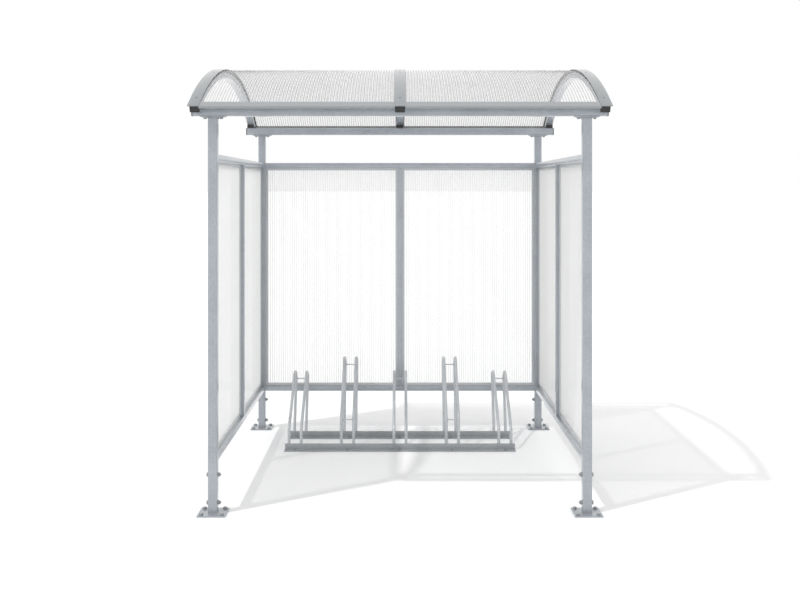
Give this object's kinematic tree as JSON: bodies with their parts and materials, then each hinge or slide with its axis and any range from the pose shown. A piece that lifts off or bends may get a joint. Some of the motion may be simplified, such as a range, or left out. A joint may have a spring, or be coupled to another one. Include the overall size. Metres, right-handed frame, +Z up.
{
  "type": "bicycle shelter",
  "caption": "Open-fronted bicycle shelter with a curved twin-wall sheet roof, sheet walls on three sides and a ground rack of alternating high and low wheel stands.",
  "frame": {"origin": "on the ground at the plan centre of the shelter", "axes": "+X to the right seen from the open front, +Y from the open front to the rear wall, +Z up"},
  "size_m": [2.226, 2.288, 2.4753],
  "materials": {
    "foot_steel": "hot-dip galvanised, matt spangle",
    "post_steel": "hot-dip galvanised, matt spangle",
    "beam_steel": "hot-dip galvanised, matt spangle",
    "wall_steel": "hot-dip galvanised, matt spangle",
    "strip_steel": "galvanised flat strip",
    "rack_steel": "hot-dip galvanised",
    "hoop_steel": "hot-dip galvanised tube",
    "eave_aluminium": "mill finish, satin",
    "glazing_aluminium": "mill finish, satin",
    "roof_sheet": "clear twin-wall polycarbonate",
    "wall_sheet": "clear twin-wall polycarbonate",
    "cap_plastic": "black moulded plastic",
    "seal_rubber": "black rubber"
  },
  "bodies": {
    "root": {"foot_front_left": "foot_steel", "foot_front_right": "foot_steel", "foot_rear_left": "foot_steel", "foot_rear_right": "foot_steel", "post_front_left": "post_steel", "post_front_right": "post_steel", "post_rear_left": "post_steel", "post_rear_right": "post_steel", "front_beam": "beam_steel", "rear_beam": "beam_steel", "tube_end_caps": "cap_plastic", "arch_left": "beam_steel", "arch_middle": "beam_steel", "arch_right": "beam_steel", "arch_seats": "seal_rubber", "roof_seals": "seal_rubber", "roof_sheet_left": "roof_sheet", "roof_sheet_right": "roof_sheet", "eave_profile_front": "eave_aluminium", "eave_profile_rear": "eave_aluminium", "cover_strip_left": "strip_steel", "cover_strip_middle": "strip_steel", "cover_strip_right": "strip_steel", "left_top_rail": "wall_steel", "left_bottom_rail": "wall_steel", "left_mullion": "wall_steel", "right_top_rail": "wall_steel", "right_bottom_rail": "wall_steel", "right_mullion": "wall_steel", "rear_top_rail": "wall_steel", "rear_bottom_rail": "wall_steel", "rear_mullion": "wall_steel", "left_glazing_frames": "glazing_aluminium", "right_glazing_frames": "glazing_aluminium", "rear_glazing_frames": "glazing_aluminium", "left_wall_sheets": "wall_sheet", "right_wall_sheets": "wall_sheet", "rear_wall_sheets": "wall_sheet", "rack_front_rail": "rack_steel", "rack_rear_rail": "rack_steel", "rack_stand_1": "hoop_steel", "rack_stand_2": "hoop_steel", "rack_stand_3": "hoop_steel", "rack_stand_4": "hoop_steel", "rack_stand_5": "hoop_steel"}
  },
  "joints": []
}
